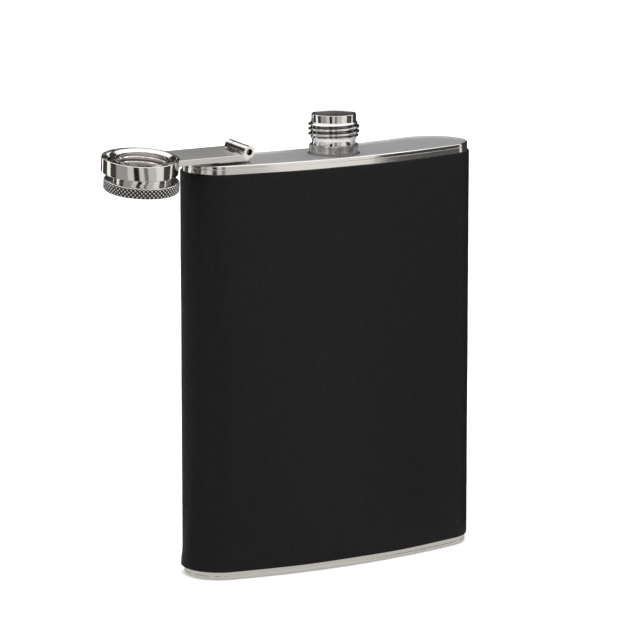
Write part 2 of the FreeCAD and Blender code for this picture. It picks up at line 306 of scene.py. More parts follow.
def finished(name, bm, material, sharp=math.radians(32)):
    """A new object from a bmesh, smooth except at its sharp edges, with one material."""
    bmesh.ops.recalc_face_normals(bm, faces=bm.faces)
    for edge in bm.edges:
        edge.smooth = edge.calc_face_angle(0) < sharp
    for face in bm.faces:
        face.smooth = True
    mesh = bpy.data.meshes.new(name)
    bm.to_mesh(mesh)
    bm.free()
    mesh.materials.append(material)
    piece = bpy.data.objects.new(name, mesh)
    bpy.context.scene.collection.objects.link(piece)
    return piece


def swept(profile, closed=True):
    """An (inset, height) profile carried round the kidney outline: the bmesh and its rings."""
    bm = bmesh.new()
    rings = []
    for inset, z in profile:
        rings.append([bm.verts.new((p.x, p.y, z)) for p, _ in kidney(inset)])
    count = len(rings[0])
    for i in range(len(rings) if closed else len(rings) - 1):
        low, high = rings[i], rings[(i + 1) % len(rings)]
        for k in range(count):
            bm.faces.new((low[k], low[(k + 1) % count], high[(k + 1) % count], high[k]))
    return bm, rings


def fill_flat(bm, outer, inner):
    """Closes the flat area between two loops of vertices."""
    edges = []
    for loop in (outer, inner):
        for k in range(len(loop)):
            edges.append(bm.edges.get((loop[k], loop[(k + 1) % len(loop)]))
                         or bm.edges.new((loop[k], loop[(k + 1) % len(loop)])))
    bmesh.ops.triangle_fill(bm, use_beauty=True, edges=edges)


def circle(bm, radius, z, count=128):
    turns = [math.tau * k / count for k in range(count)]
    return [bm.verts.new((radius * math.cos(turn), radius * math.sin(turn), z)) for turn in turns]


def turned(name, path, material, segments=192, place=None):
    """A solid turned about Z from a closed (radius, height) path, then put in its place."""
    bm = bmesh.new()
    rings = []
    for radius, z in path:
        if radius < 1e-7:
            rings.append([bm.verts.new((0, 0, z))])
        else:
            rings.append(circle(bm, radius, z, segments))
    for i, low in enumerate(rings):
        high = rings[(i + 1) % len(rings)]
        for k in range(segments):
            corners = [low[k % len(low)], low[(k + 1) % len(low)],
                       high[(k + 1) % len(high)], high[k % len(high)]]
            unique = list(dict.fromkeys(corners))
            if len(unique) > 2:
                bm.faces.new(unique)
    piece = finished(name, bm, material)
    if place is not None:
        piece.data.transform(place)
    return piece


def second_finish(piece, material, chosen):
    """Gives the chosen faces of a piece another material."""
    piece.data.materials.append(material)
    index = len(piece.data.materials) - 1
    for face, is_chosen in zip(piece.data.polygons, chosen):
        if is_chosen:
            face.material_index = index


def straight(a, b, steps):
    """Evenly spaced points from one (radius, height) point up to another, which is left out."""
    a, b = Vector(a), Vector(b)
    return [a.lerp(b, i / steps) for i in range(steps)]


def cap_place():
    """The matrix that carries a piece, drawn about Z with heights from the pin, to the open cap."""
    pin = Vector(JOINTS["arm_swing"]["pos_m"])
    lean = Vector(JOINTS["arm_swing"]["axis"])
    over = Matrix.Rotation(math.pi, 4, lean)
    reach = over.inverted() @ (Vector(JOINTS["cap_spin"]["pos_m"]) - pin)
    return Matrix.Translation(pin) @ over @ Matrix.Translation((reach.x, 0, 0))


def own_place(node, place):
    """The same place, moved across to the middle of one turned CAD node."""
    points = [place.inverted() @ v.co for v in frame["nodes"][node].data.vertices]
    across = [(min(p[i] for p in points) + max(p[i] for p in points)) / 2 for i in (0, 1)]
    return place @ Matrix.Translation((*across, 0))


def spread_of(node, place=None):
    """The lowest and highest heights and the smallest and largest radii of a turned CAD node."""
    back = Matrix.Identity(4) if place is None else place.inverted()
    points = [back @ v.co for v in frame["nodes"][node].data.vertices]
    heights = [p.z for p in points]
    radii = [math.hypot(p.x, p.y) for p in points]
    return min(heights), max(heights), min(radii), max(radii)


# ---- geometry nodes ----------------------------------------------------------------------------

class NodeMaker:
    """Short calls for adding and joining the nodes of one tree."""

    def __init__(self, tree):
        self.tree = tree

    def add(self, kind, **inputs):
        node = self.tree.nodes.new(kind)
        for name, value in inputs.items():
            setattr(node, name, value)
        return node

    def join(self, source, target):
        self.tree.links.new(source, target)

    def maths(self, operation, *values):
        """A Math node's result, from numbers or other nodes' sockets."""
        node = self.add("ShaderNodeMath", operation=operation)
        for socket, value in zip(node.inputs, values):
            if isinstance(value, (int, float)):
                socket.default_value = value
            else:
                self.join(value, socket)
        return node.outputs[0]


def new_tree(name, sizes):
    """A geometry tree with a geometry input, named number inputs and a material input."""
    tree = bpy.data.node_groups.new(name, "GeometryNodeTree")
    tree.interface.new_socket("Geometry", in_out="INPUT", socket_type="NodeSocketGeometry")
    for size in sizes:
        tree.interface.new_socket(size, in_out="INPUT", socket_type="NodeSocketFloat")
    tree.interface.new_socket("Material", in_out="INPUT", socket_type="NodeSocketMaterial")
    tree.interface.new_socket("Geometry", in_out="OUTPUT", socket_type="NodeSocketGeometry")
    return tree


def end_tree(maker, start, geometry):
    """Ends the tree in Realize Instances and Set Material."""
    real = maker.add("GeometryNodeRealizeInstances")
    paint = maker.add("GeometryNodeSetMaterial")
    out = maker.add("NodeGroupOutput")
    maker.join(geometry, real.inputs["Geometry"])
    maker.join(real.outputs["Geometry"], paint.inputs["Geometry"])
    maker.join(start.outputs["Material"], paint.inputs["Material"])
    maker.join(paint.outputs["Geometry"], out.inputs["Geometry"])


def cylinder_fields(maker):
    """The radius, angle and height of each point, and its direction away from the Z axis."""
    place = maker.add("GeometryNodeInputPosition")
    split = maker.add("ShaderNodeSeparateXYZ")
    maker.join(place.outputs[0], split.inputs[0])
    flat = maker.add("ShaderNodeCombineXYZ")
    maker.join(split.outputs["X"], flat.inputs["X"])
    maker.join(split.outputs["Y"], flat.inputs["Y"])
    away = maker.add("ShaderNodeVectorMath", operation="NORMALIZE")
    maker.join(flat.outputs[0], away.inputs[0])
    length = maker.add("ShaderNodeVectorMath", operation="LENGTH")
    maker.join(flat.outputs[0], length.inputs[0])
    angle = maker.maths("ARCTAN2", split.outputs["Y"], split.outputs["X"])
    turn = maker.maths("DIVIDE", angle, math.tau)
    return length.outputs["Value"], turn, split.outputs["Z"], away.outputs[0]


def push_out(maker, geometry, distance, away, mask):
    """Moves the masked points along their own direction by a distance."""
    shift = maker.add("ShaderNodeVectorMath", operation="SCALE")
    maker.join(away, shift.inputs[0])
    maker.join(maker.maths("MULTIPLY", distance, mask), shift.inputs["Scale"])
    move = maker.add("GeometryNodeSetPosition")
    maker.join(geometry, move.inputs["Geometry"])
    maker.join(shift.outputs[0], move.inputs["Offset"])
    return move.outputs["Geometry"]


def marked(maker, geometry, name, value):
    """Keeps a value on the points for the materials to read."""
    store = maker.add("GeometryNodeStoreNamedAttribute", data_type="FLOAT", domain="POINT")
    store.inputs["Name"].default_value = name
    maker.join(geometry, store.inputs["Geometry"])
    maker.join(value, store.inputs["Value"])
    return store.outputs["Geometry"]


def near(maker, value, target, reach):
    """1 where a value is within reach of its target, otherwise 0."""
    gap = maker.maths("ABSOLUTE", maker.maths("SUBTRACT", value, target))
    return maker.maths("LESS_THAN", gap, reach)


def ramp(maker, value, low, high):
    """A smooth rise from 0 to 1 as a value goes from low to high."""
    node = maker.add("ShaderNodeMapRange", interpolation_type="SMOOTHSTEP", clamp=True)
    for socket, item in (("Value", value), ("From Min", low), ("From Max", high)):
        if isinstance(item, (int, float)):
            node.inputs[socket].default_value = item
        else:
            maker.join(item, node.inputs[socket])
    return node.outputs["Result"]


def between(maker, value, low, high, fade):
    """1 between two values, fading to 0 over a length inside each of them."""
    rise = ramp(maker, value, low, maker.maths("ADD", low, fade))
    fall = ramp(maker, value, maker.maths("SUBTRACT", high, fade), high)
    return maker.maths("MULTIPLY", rise, maker.maths("SUBTRACT", 1.0, fall))


def thread_tree():
    """Raises a helical ridge on the points that lie at the root radius."""
    tree = new_tree("screw_thread", [
        "Root radius", "Ridge height", "Pitch", "Low", "High", "Run-out", "Start turn"])
    maker = NodeMaker(tree)
    start = maker.add("NodeGroupInput")
    radius, turn, z, away = cylinder_fields(maker)
    above = maker.maths("SUBTRACT", z, start.outputs["Low"])
    rise = maker.maths("DIVIDE", above, start.outputs["Pitch"])
    unwound = maker.maths("SUBTRACT", rise, turn)
    phase = maker.maths("FRACT", maker.maths("ADD", unwound, start.outputs["Start turn"]))
    from_crest = maker.maths("ABSOLUTE", maker.maths("SUBTRACT", phase, 0.5))
    crest = maker.maths("SUBTRACT", 1.0, ramp(maker, from_crest, CREST_FLAT, CREST_FOOT))
    cut = between(maker, z, start.outputs["Low"], start.outputs["High"], start.outputs["Run-out"])
    mask = near(maker, radius, start.outputs["Root radius"], 0.05 * MM)
    ridge = maker.maths("MULTIPLY", crest, cut)
    distance = maker.maths("MULTIPLY", ridge, start.outputs["Ridge height"])
    # the thread's valleys, kept as 'groove' for the painted shade in the steel's colour
    low_ground = maker.maths("POWER", maker.maths("SUBTRACT", 1.0, crest), 2.0)
    valley = maker.maths("MULTIPLY", cut, low_ground)
    kept = marked(maker, start.outputs["Geometry"], "groove", maker.maths("MULTIPLY", valley, mask))
    end_tree(maker, start, push_out(maker, kept, distance, away, mask))
    return tree


def knurl_tree():
    """Cuts two crossing families of grooves into the points that lie at the rim radius."""
    tree = new_tree("diamond_knurl", [
        "Rim radius", "Depth", "Diamonds", "Row height", "Low", "High", "Edge"])
    maker = NodeMaker(tree)
    start = maker.add("NodeGroupInput")
    radius, turn, z, away = cylinder_fields(maker)
    round_it = maker.maths("MULTIPLY", turn, start.outputs["Diamonds"])
    above = maker.maths("SUBTRACT", z, start.outputs["Low"])
    up = maker.maths("DIVIDE", above, start.outputs["Row height"])
    heights = []
    for way in ("ADD", "SUBTRACT"):
        phase = maker.maths("FRACT", maker.maths(way, round_it, up))
        swing = maker.maths("SUBTRACT", maker.maths("MULTIPLY", phase, 2.0), 1.0)
        heights.append(maker.maths("SUBTRACT", 1.0, maker.maths("ABSOLUTE", swing)))
    peak = maker.maths("MULTIPLY", maker.maths("MINIMUM", *heights), KNURL_FLANK)
    groove = maker.maths("SUBTRACT", 1.0, maker.maths("MINIMUM", peak, 1.0))
    cut = between(maker, z, start.outputs["Low"], start.outputs["High"], start.outputs["Edge"])
    rim = near(maker, radius, start.outputs["Rim radius"], 0.02 * MM)
    mask = maker.maths("MULTIPLY", rim, cut)
    depth = maker.maths("MULTIPLY", maker.maths("MULTIPLY", groove, start.outputs["Depth"]), -1.0)
    # the knurl's grooves, kept as 'groove' for the painted shade in the cap's colour
    kept = marked(maker, start.outputs["Geometry"], "groove", maker.maths("MULTIPLY", groove, mask))
    end_tree(maker, start, push_out(maker, kept, depth, away, mask))
    return tree


def shaped(piece, tree, sizes, material):
    """Runs a geometry tree on a piece and leaves the result as its plain mesh."""
    modifier = piece.modifiers.new(tree.name, "NODES")
    modifier.node_group = tree
    inputs = [item for item in tree.interface.items_tree if item.in_out == "INPUT"]
    keys = {item.name: item.identifier for item in inputs}
    for name, value in sizes.items():
        modifier[keys[name]] = float(value)
    modifier[keys["Material"]] = material
    piece.update_tag()
    graph = bpy.context.evaluated_depsgraph_get()
    graph.update()
    mesh = bpy.data.meshes.new_from_object(piece.evaluated_get(graph), depsgraph=graph)
    piece.modifiers.remove(modifier)
    piece.data = mesh


# ---- materials ---------------------------------------------------------------------------------

def new_material(name):
    """A material with its node maker and its Principled shader."""
    material = bpy.data.materials.new(name)
    material.use_nodes = True
    shader = material.node_tree.nodes["Principled BSDF"]
    return material, NodeMaker(material.node_tree), shader


def object_place(maker, scale=(1, 1, 1)):
    """Object coordinates, stretched along the axes."""
    place = maker.add("ShaderNodeTexCoord")
    stretch = maker.add("ShaderNodeMapping")
    stretch.inputs["Scale"].default_value = scale
    maker.join(place.outputs["Object"], stretch.inputs["Vector"])
    return stretch.outputs["Vector"]


def noise_value(maker, vector, scale, detail=3.0, roughness=0.5):
    node = maker.add("ShaderNodeTexNoise")
    node.inputs["Scale"].default_value = scale
    node.inputs["Detail"].default_value = detail
    node.inputs["Roughness"].default_value = roughness
    maker.join(vector, node.inputs["Vector"])
    return node.outputs["Fac"]


def ranged(maker, value, low, high):
    node = maker.add("ShaderNodeMapRange")
    node.inputs["To Min"].default_value = low
    node.inputs["To Max"].default_value = high
    maker.join(value, node.inputs["Value"])
    return node.outputs["Result"]


def tinted(maker, value, dark, light):
    node = maker.add("ShaderNodeMix", data_type="RGBA")
    node.inputs["A"].default_value = (*dark, 1)
    node.inputs["B"].default_value = (*light, 1)
    maker.join(value, node.inputs["Factor"])
    return node.outputs["Result"]


def dulled(maker, colour, amount):
    """The colour darkened towards black by an amount from 0 to 1."""
    node = maker.add("ShaderNodeMix", data_type="RGBA")
    node.inputs["B"].default_value = (0.012, 0.011, 0.010, 1)
    maker.join(colour, node.inputs["A"])
    maker.join(amount, node.inputs["Factor"])
    return node.outputs["Result"]


def bumped(maker, shader, height, strength, distance):
    node = maker.add("ShaderNodeBump")
    node.inputs["Strength"].default_value = strength
    node.inputs["Distance"].default_value = distance
    maker.join(height, node.inputs["Height"])
    maker.join(node.outputs["Normal"], shader.inputs["Normal"])


def shade(colour, amount):
    return tuple(c * amount for c in colour)


def steel(name, colour, rough, stretch, grain, waviness=0.0):
    """Bare stainless steel: stretched grain, faint colour drift and gloss within a range."""
    material, maker, shader = new_material(name)
    shader.inputs["Metallic"].default_value = 1.0
    lines = noise_value(maker, object_place(maker, stretch), 900, 4, 0.6)
    cloud = noise_value(maker, object_place(maker), 70, 2, 0.5)
    # painted shade: the thread's valleys, kept as 'groove', are painted darker towards black
    groove = maker.add("ShaderNodeAttribute", attribute_name="groove")
    groove_shade = maker.maths("MULTIPLY", groove.outputs["Fac"], 0.8)
    bare = tinted(maker, cloud, shade(colour, 0.93), colour)
    maker.join(dulled(maker, bare, groove_shade), shader.inputs["Base Color"])
    maker.join(ranged(maker, lines, *rough), shader.inputs["Roughness"])
    height = lines
    if waviness:
        swell = noise_value(maker, object_place(maker), 160, 2, 0.4)
        height = maker.maths("ADD", lines, maker.maths("MULTIPLY", swell, waviness))
    bumped(maker, shader, height, grain, 0.02 * MM)
    return material


def polished_steel():
    """Mirror-polished, with the slight waves of thin sheet."""
    tone = tuple(settings().finish.polished)
    return steel("polished_steel", tone, (0.05, 0.13), (1, 1, 0.15), grain=0.12, waviness=6.0)


def band_steel():
    """Polished less finely, with its grain round the body."""
    tone = tuple(settings().finish.polished)
    return steel("band_steel", tone, (0.10, 0.22), (1, 1, 6), grain=0.2, waviness=8.0)


def satin_steel():
    """Brushed from end to end of the flask."""
    tone = tuple(settings().finish.satin)
    return steel("satin_steel", tone, (0.34, 0.46), (0.2, 3, 1), grain=0.25)


def arm_steel():
    """Brushed along the arm, polished round the barrel, with painted shade inside the barrel's ends.
    """
    polished = tuple(settings().finish.polished)
    material = steel("arm_steel", shade(polished, 0.82), (0.24, 0.38), (0.2, 3, 1), grain=0.3)
    maker = NodeMaker(material.node_tree)
    shader = material.node_tree.nodes["Principled BSDF"]
    pin = maker.add("ShaderNodeVectorMath", operation="SUBTRACT")
    pin.inputs[1].default_value = JOINTS["arm_swing"]["pos_m"]
    maker.join(object_place(maker), pin.inputs[0])
    across = maker.add("ShaderNodeVectorMath", operation="CROSS_PRODUCT")
    across.inputs[1].default_value = JOINTS["arm_swing"]["axis"]
    maker.join(pin.outputs[0], across.inputs[0])
    reach = maker.add("ShaderNodeVectorMath", operation="LENGTH")
    maker.join(across.outputs[0], reach.inputs[0])
    off_axis = reach.outputs["Value"]
    outside = ramp(maker, off_axis, BARREL_RADIUS, BARREL_RADIUS + 0.8 * MM)
    barrel = maker.maths("SUBTRACT", 1.0, outside)
    # painted shade: the barrel's holes round the pin are painted nearly black
    hole = maker.maths("SUBTRACT", 1.0, ramp(maker, off_axis, BARREL_HOLE, BARREL_HOLE + 0.06 * MM))
    colour = shader.inputs["Base Color"].links[0].from_socket
    brushed = shader.inputs["Roughness"].links[0].from_socket
    bright = maker.add("ShaderNodeMix", data_type="RGBA")
    bright.inputs["B"].default_value = (*polished, 1)
    maker.join(barrel, bright.inputs["Factor"])
    maker.join(colour, bright.inputs["A"])
    maker.join(dulled(maker, bright.outputs["Result"], hole), shader.inputs["Base Color"])
    gloss = maker.maths("MULTIPLY", brushed, ranged(maker, barrel, 1.0, 0.25))
    maker.join(gloss, shader.inputs["Roughness"])
    return material


def pin_steel():
    """The pin, painted dark as painted shade at its cut ends deep in the barrel."""
    # painted shade: the pin is given a quarter of the satin colour
    tone = shade(settings().finish.satin, 0.25)
    return steel("pin_steel", tone, (0.3, 0.5), (1, 1, 1), grain=0.4)


def ring_steel():
    """The ring round the neck's foot: turned and pitted, with painted reflection as light and dark
    streaks up its side.
    """
    material, maker, shader = new_material("ring_steel")
    shader.inputs["Metallic"].default_value = 1.0
    tone = settings().finish.polished
    # painted reflection: vertical light and dark streaks, broken by the pits, are painted into the
    # colour
    streaks = noise_value(maker, object_place(maker, (1, 1, 0.12)), 700, 3, 0.6)
    pits = noise_value(maker, object_place(maker), 1500, 4, 0.7)
    pits_and_reflection = ramp(maker, maker.maths("MULTIPLY", streaks, pits), 0.14, 0.42)
    maker.join(tinted(maker, pits_and_reflection, shade(tone, 0.26), shade(tone, 0.92)),
               shader.inputs["Base Color"])
    maker.join(ranged(maker, pits, 0.18, 0.42), shader.inputs["Roughness"])
    bumped(maker, shader, pits, 0.7, 0.08 * MM)
    return material


def bore_steel():
    """The neck's inside: rougher and darker steel than the outside."""
    tone = shade(settings().finish.satin, 0.42)
    return steel("bore_steel", tone, (0.3, 0.5), (1, 1, 0.2), grain=0.3)


def solder_steel():
    """Dressed solder: dull, pitted and a little lumpy."""
    material, maker, shader = new_material("solder")
    shader.inputs["Metallic"].default_value = 1.0
    lumps = noise_value(maker, object_place(maker), 1400, 5, 0.7)
    tone = settings().finish.satin
    maker.join(tinted(maker, lumps, shade(tone, 0.05), shade(tone, 0.36)),
               shader.inputs["Base Color"])
    maker.join(ranged(maker, lumps, 0.32, 0.6), shader.inputs["Roughness"])
    bumped(maker, shader, lumps, 0.8, 0.12 * MM)
    return material


def knurled_steel():
    """The cap head: bright crests, with painted shade in the knurl's grooves."""
    material, maker, shader = new_material("knurled_steel")
    shader.inputs["Metallic"].default_value = 1.0
    tone = settings().finish.polished
    groove = maker.add("ShaderNodeAttribute", attribute_name="groove")
    speckle = noise_value(maker, object_place(maker), 900, 3, 0.6)
    # painted shade: the knurl's grooves are painted nearly black, a little unevenly
    shade_mix = maker.maths("MULTIPLY", groove.outputs["Fac"], ranged(maker, speckle, 0.8, 1.2))
    depth = ramp(maker, shade_mix, 0.16, 0.58)
    maker.join(tinted(maker, depth, tuple(tone), shade(tone, 0.03)),
               shader.inputs["Base Color"])
    maker.join(ranged(maker, depth, 0.14, 0.45), shader.inputs["Roughness"])
    bumped(maker, shader, speckle, 0.08, 0.03 * MM)
    return material


def leather():
    """Fine-grained black leather: small pebbles, satin on top and duller in the creases."""
    material, maker, shader = new_material("wrap_leather")
    tone = tuple(settings().finish.leather)
    surface = maker.add("ShaderNodeUVMap", uv_map="cut")
    stretch = maker.add("ShaderNodeMapping")
    stretch.inputs["Scale"].default_value = (1, 1.35, 1)
    maker.join(surface.outputs[0], stretch.inputs["Vector"])
    drift = noise_value(maker, stretch.outputs[0], 260, 3, 0.6)
    pebble = maker.add("ShaderNodeTexVoronoi", feature="DISTANCE_TO_EDGE")
    pebble.inputs["Scale"].default_value = 1500
    pebble.inputs["Randomness"].default_value = 0.85
    maker.join(stretch.outputs[0], pebble.inputs["Vector"])
    crease = ramp(maker, pebble.outputs["Distance"], 0.0, 0.22)
    pores = noise_value(maker, stretch.outputs[0], 5200, 3, 0.6)
    pebbled, pored = maker.maths("MULTIPLY", crease, 0.8), maker.maths("MULTIPLY", pores, 0.35)
    height = maker.maths("ADD", pebbled, pored)
    # painted shade: the creases between the pebbles are painted darker than their tops
    shade_mix = maker.maths("MULTIPLY", crease, ranged(maker, drift, 0.8, 1.1))
    maker.join(tinted(maker, shade_mix, shade(tone, 0.55), tone), shader.inputs["Base Color"])
    maker.join(ranged(maker, height, 0.62, 0.44), shader.inputs["Roughness"])
    shader.inputs["Specular IOR Level"].default_value = 0.20
    bumped(maker, shader, height, 0.5, 0.035 * MM)
    return material


def gasket_rubber():
    """The cap's soft sealing disc, faintly mottled."""
    material, maker, shader = new_material("gasket_rubber")
    tone = tuple(settings().finish.gasket)
    cloud = noise_value(maker, object_place(maker), 500, 4, 0.6)
    maker.join(tinted(maker, cloud, shade(tone, 0.8), tone), shader.inputs["Base Color"])
    maker.join(ranged(maker, cloud, 0.45, 0.6), shader.inputs["Roughness"])
    bumped(maker, shader, cloud, 0.3, 0.05 * MM)
    return material


def painted(node, material):
    """Gives a carried-over frame node its material."""
    mesh = frame["nodes"][node].data
    mesh.materials.clear()
    mesh.materials.append(material)


def put_on(piece, body, slot, *nodes):
    """The piece rides on a body and stands for the frame's own nodes, which it hides; slot is not
    used.
    """
    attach(piece, body)
    if nodes:
        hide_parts(*nodes)
    return piece


# ---- pieces ------------------------------------------------------------------------------------

def make_shell():
    """The drawn steel tube, with eased edges where it meets the end plates."""
    body = settings().body
    low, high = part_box("body_shell")
    ease = body.seam_bevel
    outer, inner = body.leather, body.leather + WALL
    corners = [
        (outer, low.z, ease), (outer, high.z, ease), (inner, high.z, 0), (inner, low.z, 0),
    ]
    bm, _ = swept(softened(corners))
    piece = finished("shell_tube", bm, band_steel())
    return put_on(piece, "flask", "shell_steel", "body_shell")


def make_top_plate():
    """The top plate: a raised, rounded rim round a flat dished floor, holed for the neck."""
    body = settings().body
    low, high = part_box("top_plate")
    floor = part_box("neck_ring")[0].z
    hole = spread_of("threaded_neck")[2] + 0.4 * MM
    inner = body.leather + body.rim_width
    corners = [
        (inner, floor, 0.12 * MM), (inner, high.z, 0.12 * MM),
        (body.leather, high.z, body.rim_round), (body.leather, low.z, body.seam_bevel),
        (inner, low.z, 0),
    ]
    path = softened(corners, 6)
    bm, rings = swept(path, closed=False)
    upper = circle(bm, hole, floor)
    under = circle(bm, hole, low.z)
    fill_flat(bm, rings[0], upper)
    fill_flat(bm, rings[-1], under)
    for k in range(len(upper)):
        after = (k + 1) % len(upper)
        bm.faces.new((upper[k], upper[after], under[after], under[k]))
    piece = finished("top_plate_dish", bm, satin_steel())
    bright = body.leather + body.rim_round * 1.05
    rounded = [(a.x + b.x) / 2 < bright for a, b in zip(path, path[1:])]
    bands = [i // len(rings[0]) for i in range(len(piece.data.polygons))]
    on_round = [band < len(rounded) and rounded[band] for band in bands]
    second_finish(piece, polished_steel(), on_round)
    return put_on(piece, "flask", "plate_steel", "top_plate")


def make_bottom_plate():
    """The foot: a plate with a rounded edge and a flat underside."""
    body = settings().body
    low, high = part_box("bottom_plate")
    inner, floor_height = body.leather + WALL, low.z + 0.6 * MM
    corners = [
        (inner, high.z, 0), (body.leather, high.z, body.seam_bevel),
        (body.leather, low.z, body.foot_round), (body.leather + 2.5 * MM, low.z, 0),
    ]
    bm, rings = swept(softened(corners, 6), closed=False)
    bm.faces.new(rings[-1])
    floor = [bm.verts.new((p.x, p.y, floor_height)) for p, _ in kidney(inner)]
    for k in range(len(floor)):
        after = (k + 1) % len(floor)
        bm.faces.new((rings[0][k], rings[0][after], floor[after], floor[k]))
    bm.faces.new(floor)
    piece = finished("foot_plate", bm, band_steel())
    return put_on(piece, "flask", "plate_steel", "bottom_plate")


def leather_profile(low, high, inner):
    """The leather's closed (inset, height) section, rounded at both cuts and flat where glued."""
    rows, edge, steps = 72, 0.34 * MM, 5
    face = [(0.0, low + edge + (high - low - 2 * edge) * i / rows) for i in range(rows + 1)]
    turns = [math.pi / 2 * i / steps for i in range(1, steps + 1)]
    curve = [(edge * (1 - math.cos(turn)), edge * (1 - math.sin(turn))) for turn in turns]
    top = [(inset, high - fall) for inset, fall in curve]
    foot = [(inset, low + fall) for inset, fall in reversed(curve)]
    return foot + face + top + [(inner, high), (inner, low)]


def make_leather():
    """The leather: one sheet stretched round the shell, butted in a seam down the back."""
    body = settings().body
    low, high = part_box("leather_wrap")
    inner = body.leather - 0.01 * MM
    path = leather_profile(low.z, high.z, inner)
    bm = bmesh.new()
    cut = bm.loops.layers.uv.new("cut")
    outline = kidney(0.0, True)
    lengths = [0.0]
    for (a, _), (b, _) in zip(outline, outline[1:] + outline[:1]):
        lengths.append(lengths[-1] + (b - a).length)
    around = lengths[-1]
    seam = body.seam_gap / 2
    columns = [i for i, s in enumerate(lengths) if seam < s < around - seam]
    loops = [kidney(inset, True) for inset, z in path]
    grid = []
    for i in columns:
        s = lengths[i]
        from_seam = min(s, around - s)
        column = []
        for (inset, z), loop in zip(path, loops):
            point, way = loop[i]
            swell = 0.0
            if inset < inner:
                swell = relief(point, z) - tuck(from_seam) + flare(point.x - low.x, z - low.z)
            place = point + way * swell
            column.append(bm.verts.new((place.x, place.y, z + trim(s, z, low.z, high.z))))
        grid.append((s, column))
    for (s0, a), (s1, b) in zip(grid, grid[1:]):
        for j, (_, low_z) in enumerate(path):
            k = (j + 1) % len(path)
            high_z = path[k][1]
            quad = bm.faces.new((a[j], b[j], b[k], a[k]))
            flat = ((s0, low_z), (s1, low_z), (s1, high_z), (s0, high_z))
            for loop, uv in zip(quad.loops, flat):
                loop[cut].uv = uv
    for end in (grid[0][1], grid[-1][1]):
        bm.faces.new(end)
    piece = finished("leather_cover", bm, leather(), math.radians(50))
    put_on(piece, "flask", "wrap_leather", "leather_wrap")
    return piece


def relief(point, z):
    """The leather's slight unevenness over the glue."""
    at = Vector((point.x, point.y, z))
    return 0.05 * MM * noise.noise(at * 45) + 0.02 * MM * noise.noise(at * 240)


def tuck(from_seam):
    """How far the leather dips towards its seam."""
    return 0.16 * MM * math.exp(-(from_seam / (0.7 * MM)) ** 2)


def flare(from_end, above_foot):
    """How far the leather stands proud where its foot turns round the end by the hinge."""
    round_end = math.exp(-(from_end / (6 * MM)) ** 2)
    return 0.5 * MM * round_end * math.exp(-(above_foot / (3.2 * MM)) ** 2)


def trim(s, z, low, high):
    """The knife's slight wander along the leather's upper and lower cuts."""
    share = max(0.0, 1 - min(z - low, high - z) / (2 * MM))
    return 0.09 * MM * share * noise.noise(Vector((s * 60, z * 3, 4.0)))


def make_neck():
    """The polished neck: lip, rolled thread, taper and waist, open right through."""
    thread = settings().thread
    low, high, bore, _ = spread_of("threaded_neck")
    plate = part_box("neck_ring")[0].z
    waist = spread_of("neck_ring")[2] - 0.01 * MM
    lip, root = NECK_LIP, THREAD_ROOT
    top, foot = high - THREAD_TOP, high - THREAD_FOOT
    mouth, taper = high - 0.4 * MM, foot - 0.9 * MM
    path = [(bore, low), (PLATE_SPIGOT, low), (PLATE_SPIGOT, plate), (waist, plate)]
    path += straight((waist, plate + 0.01 * MM), (waist, taper), 4)
    path += straight((waist, taper), (root, foot), 8)
    path += straight((root, foot), (root, top), 96)
    path += [
        (root, top), (lip + 0.06 * MM, top + 0.12 * MM), (lip, top + 0.22 * MM),
        (lip, high - 0.3 * MM), (lip - 0.03 * MM, high - 0.12 * MM),
        (lip - 0.14 * MM, high - 0.02 * MM), (lip - 0.28 * MM, high),
        (bore + 0.2 * MM, high - 0.03 * MM), (bore + 0.06 * MM, high - 0.14 * MM), (bore, mouth),
    ]
    path += straight((bore, mouth), (bore, low), 6)[1:]
    metal = polished_steel()
    piece = turned("neck_tube", path, metal, 224)
    sizes = {
        "Root radius": root, "Ridge height": thread.height, "Pitch": thread.pitch,
        "Low": foot - 0.1 * MM, "High": top + 0.1 * MM, "Run-out": thread.run_out,
        "Start turn": thread.start / math.tau,
    }
    shaped(piece, thread_tree(), sizes, metal)
    inside = [math.hypot(*face.center[:2]) < bore + 0.03 * MM for face in piece.data.polygons]
    second_finish(piece, bore_steel(), inside)
    return put_on(piece, "flask", "bright_steel", "threaded_neck")


def make_neck_ring():
    """The turned ring soldered round the neck's foot."""
    low, high, inner, outer = spread_of("neck_ring")
    corners = [
        (inner, low, 0), (outer, low, 0.05 * MM),
        (outer, high, 0.3 * MM), (inner + 0.02 * MM, high, 0.1 * MM),
    ]
    piece = turned("neck_collar", softened(corners, 6), ring_steel())
    return put_on(piece, "flask", "plate_steel", "neck_ring")


def make_captive_ring():
    """The polished ring at the arm's end, coned inside where the cap's lip rests."""
    place = own_place("captive_ring", cap_place())
    low, high, bore, outer = spread_of("captive_ring", place)
    corners = [
        (bore, low + RING_SEAT_DEPTH, 0.1 * MM), (RING_SEAT, low + RING_SEAT_EDGE, 0.1 * MM),
        (RING_SEAT, low, 0.06 * MM), (outer, low, 0.25 * MM),
        (outer, high, 0.3 * MM), (bore, high, 0.3 * MM),
    ]
    piece = turned("captive_ring_band", softened(corners, 6), polished_steel(), 224, place)
    return put_on(piece, "arm", "bright_steel", "captive_ring")


